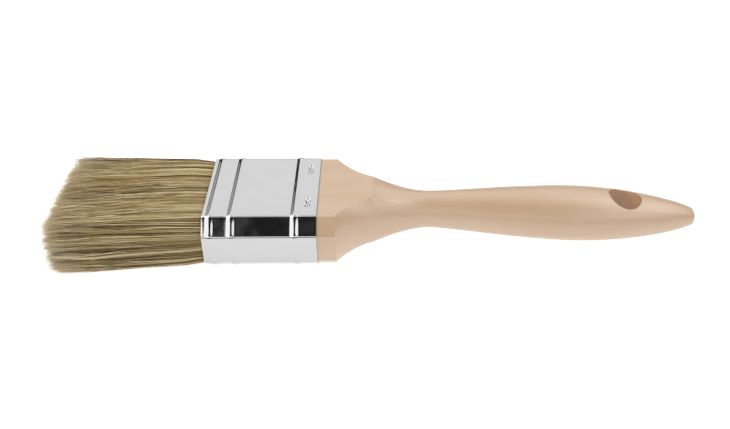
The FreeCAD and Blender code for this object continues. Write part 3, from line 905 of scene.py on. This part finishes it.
def make_tubes(name, paths, radii, tones, shares, random, material):
    """One mesh object with a tube round every path. Radii are given ring by ring."""
    count, rings, _ = paths.shape
    turn = random.uniform(0, 2 * pi, count)[:, None] + np.arange(SIDES) * 2 * pi / SIDES
    ring = np.stack([np.zeros_like(turn), np.cos(turn), np.sin(turn)], -1)
    points = paths[:, :, None] + ring[:, None] * radii[:, :, None, None]
    corner = np.arange(rings * SIDES).reshape(rings, SIDES)
    after = np.roll(corner, -1, 1)
    quads = np.stack([corner[:-1], after[:-1], after[1:], corner[1:]], -1).reshape(-1, 4)
    faces = (quads[None] + (np.arange(count) * rings * SIDES)[:, None, None]).reshape(-1, 4)
    mesh = bpy.data.meshes.new(name)
    mesh.vertices.add(count * rings * SIDES)
    mesh.vertices.foreach_set("co", points.astype(np.float32).ravel())
    mesh.loops.add(faces.size)
    mesh.loops.foreach_set("vertex_index", faces.astype(np.int32).ravel())
    mesh.polygons.add(len(faces))
    mesh.polygons.foreach_set("loop_start", np.arange(0, faces.size, 4, dtype=np.int32))
    mesh.polygons.foreach_set("use_smooth", np.ones(len(faces), bool))
    # The sides of a tube share the width of its tone's column on the map.
    column = np.arange(SIDES) / SIDES
    left = tones[:, None] + column * TONE_WIDTH
    right = left + TONE_WIDTH / SIDES
    u = np.stack([left, right, right, left], -1)[:, None].repeat(rings - 1, 1)
    low, high = shares[:, :-1], shares[:, 1:]
    v = np.stack([low, low, high, high], -1)[:, :, None].repeat(SIDES, 2)
    layer = mesh.uv_layers.new(name=MAP_NAME)
    layer.uv.foreach_set("vector", np.stack([u, v], -1).astype(np.float32).ravel())
    mesh.update()
    mesh.validate()
    mesh.materials.append(material)
    piece = bpy.data.objects.new(name, mesh)
    bpy.context.scene.collection.objects.link(piece)
    return piece


# %% [markdown]
# ## Bristle finish
#
# The bristle is a straw-coloured one with a slight sheen. Most hairs are khaki, some are nearly
# cream, a few are brown, and all of them fade to cream at the tip, where the hair is split into
# fine ends. A colour ramp turns the tone into a colour, and a blend along the hair does the rest.

# %% Bristle material
HAIR_DARK = rgb(0.095, 0.060, 0.020)
HAIR_BROWN = rgb(0.28, 0.18, 0.058)
HAIR_KHAKI = rgb(0.585, 0.435, 0.188)
HAIR_STRAW = rgb(0.70, 0.56, 0.31)
HAIR_CREAM = rgb(0.84, 0.72, 0.48)
HAIR_RED = rgb(0.22, 0.10, 0.055)
PALE_FROM = 0.82
PALE_MOST = 0.55
HAIR_ROUGHNESS = (0.5, 0.36)


def make_bristle():
    """Bristle whose colour follows the hair's tone and fades towards its tip."""
    material, tree, shader = new_material("natural bristle")
    place = add_node(tree, "ShaderNodeUVMap", uv_map=MAP_NAME)
    parts = add_node(tree, "ShaderNodeSeparateXYZ", {0: place.outputs["UV"]})
    ramp = add_node(tree, "ShaderNodeValToRGB", {"Fac": parts.outputs["X"]})
    stops = ramp.color_ramp.elements
    stops[0].position, stops[0].color = 0.0, HAIR_DARK
    stops[1].position, stops[1].color = 1.0, HAIR_CREAM
    for position, colour in ((0.05, HAIR_RED), (0.09, HAIR_DARK), (0.25, HAIR_BROWN),
                             (0.55, HAIR_KHAKI), (0.85, HAIR_STRAW)):
        stop = stops.new(position)
        stop.color = colour
    pale = remap(tree, parts.outputs["Y"], PALE_FROM, 1.0, 0.0, PALE_MOST)
    colour = mix_colour(tree, pale, ramp.outputs["Color"], HAIR_CREAM)
    tree.links.new(colour, shader.inputs["Base Color"])
    rough = remap(tree, parts.outputs["X"], 0.0, 1.0, *HAIR_ROUGHNESS)
    tree.links.new(rough, shader.inputs["Roughness"])
    shader.inputs["Specular IOR Level"].default_value = 0.3
    return material


bristle = make_bristle()

# %% [markdown]
# A hair's tone is the sum of its locks' tones and a little of its own. The small strands differ
# most, and more so near the narrow sides, where part of the difference is painted shade for the
# grazing light, and the sides are painted a little darker as shade. A few strands are dark all
# through, as painted shade for the gap between their neighbours, as if one looked into it.

# %% Tones
BASE_TONE = 0.78
# Painted shade: how much darker the narrow sides of the tuft are made.
SIDE_PAINTED_SHADE = 0.06
# How much the tones of large locks, small locks and strands differ.
CONTRAST = (0.02, 0.08, 0.27)
# Near the narrow sides the tones differ more, partly as painted shade.
SIDE_CONTRAST_WITH_SHADE = (0.02, 0.18, 0.36)
# The sides start at this share of the half width, and take over within the second share.
SIDE_STARTS = 0.75
SIDE_BLEND = 0.2
# Painted shade: this share of strands is darkened to stand for shaded gaps, more at the sides.
SHADED_GAP_SHARE = 0.13
GAP_PAINTED_SHADE = 0.34
GAP_PAINTED_SHADE_AT_SIDE = 0.1
OWN_CONTRAST = 0.12
DARK_HAIRS = 0.06
DARK_HAIR_DARKER = 0.35


def in_steps(tones):
    """Tones from 0 to 1, each put in its column on the map."""
    return np.floor(np.clip(tones, 0, 0.999) * TONE_STEPS) / TONE_STEPS


def hair_tones(stand, families, random):
    """A tone for each hair, from its place and its locks, with painted shade at the sides and in
    gaps.
    """
    side = np.abs(stand[:, 0]) / MOUTH_HALF_WIDTH
    side = np.clip((side - SIDE_STARTS) / SIDE_BLEND, 0, 1)
    # Painted shade: the narrow sides are made darker.
    tone = BASE_TONE - SIDE_PAINTED_SHADE * side
    # Near the sides the larger differences are partly painted shade.
    for locks, plain, at_side in zip(families, CONTRAST, SIDE_CONTRAST_WITH_SHADE):
        contrast = plain + (at_side - plain) * side
        tone += random.normal(0, 1, locks.max() + 1)[locks] * contrast
    # Painted shade: some strands are darkened all through, as shaded gaps between their
    # neighbours.
    strands = families[-1]
    painted_gap = random.random(strands.max() + 1) < SHADED_GAP_SHARE
    tone -= painted_gap[strands] * (GAP_PAINTED_SHADE + GAP_PAINTED_SHADE_AT_SIDE * side)
    tone += random.normal(0, OWN_CONTRAST, len(tone))
    tone[random.random(len(tone)) < DARK_HAIRS] -= DARK_HAIR_DARKER
    return in_steps(tone)


# %% [markdown]
# The roots run straight into the resin, past the filler strips, before the hairs fan out. The
# strips wedge them apart into three layers, so the hairs of the outer layers are pushed up or
# down there, and those of the middle one are squeezed between the strips.

# %% Roots
ROOT_CLEARANCE = 0.2 * MM
ROOT_SHARE = 0.1


def add_roots(paths, shares):
    """Two more rings, in the resin and at the end of the strips, for each hair."""
    count = len(paths)
    height = paths[:, 0, 2]
    half = MOUTH_HALF_THICKNESS
    third = half / 3
    lift = strip_high.z + ROOT_CLEARANCE
    outer = np.sign(height) * (lift + (np.abs(height) - third) * (half - lift) / (half / 1.5))
    inner = height * (strip_low.z - ROOT_CLEARANCE) / third
    seated = np.where(np.abs(height) < third, inner, outer)
    rings = [np.stack([np.full(count, place), paths[:, 0, 1], seated], -1)
             for place in (ROOT, STRIP_END)]
    start = np.broadcast_to((0, ROOT_SHARE / 2), (count, 2))
    shares = ROOT_SHARE + (1 - ROOT_SHARE) * shares
    return np.concatenate([np.stack(rings, 1), paths], 1), np.concatenate([start, shares], 1)


# %% [markdown]
# Each pack of the CAD model gets its own hairs, in three shades, so no mesh grows too large. A
# hair keeps its thickness most of the way and tapers over its last quarter.

# %% Grow the tuft
SEED = 20
END_PALER = 0.1
TAPER = 4
TAPER_CURVE = 0.6
HAIR_TIP = 0.2
FLAG_TIP = 0.35


def grow_tuft(random):
    """All the hairs of the brush, as pieces that replace the CAD model's packs."""
    stand = stand_hairs(HAIR_STEP, random)
    paths, families, shares = run_hairs(stand, random)
    tones = hair_tones(stand, families, random)
    ends, end_shares = split_ends(paths, random)
    end_tones = in_steps(tones + END_PALER)
    paths, shares = add_roots(paths, shares)
    taper = np.clip((1 - shares) * TAPER, 0, 1) ** TAPER_CURVE
    thick = HAIR_RADIUS * random.uniform(THINNEST, THICKEST, len(stand))
    radii = thick[:, None] * (HAIR_TIP + (1 - HAIR_TIP) * taper)
    end_taper = np.clip((1 - end_shares) / FLAG_LENGTH, 0, 1)
    end_radii = FLAG_RADIUS * (FLAG_TIP + (1 - FLAG_TIP) * end_taper)
    third = MOUTH_HALF_THICKNESS / 3
    packs = {"front": stand[:, 1] > third, "middle": np.abs(stand[:, 1]) <= third,
             "back": stand[:, 1] < -third}
    cuts = np.quantile(tones, (1 / 3, 2 / 3))
    shades = {"dark": tones <= cuts[0], "straw": (tones > cuts[0]) & (tones <= cuts[1]),
              "pale": tones > cuts[1]}
    for pack, here in packs.items():
        tubes = {}
        for shade, of_shade in shades.items():
            some = here & of_shade
            tubes[f"bristles_{pack}_{shade}"] = (paths[some], radii[some], tones[some],
                                                 shares[some])
        tubes[f"split_ends_{pack}"] = (ends[here], end_radii[here], end_tones[here],
                                       end_shares[here])
        for name, parts in tubes.items():
            piece = make_tubes(name, *parts, random, bristle)
            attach(piece, BODY)
            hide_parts(f"bristle_pack_{pack}")
            print(name, len(parts[0]), "tubes,", len(piece.data.polygons), "faces")


grow_tuft(np.random.default_rng(SEED))
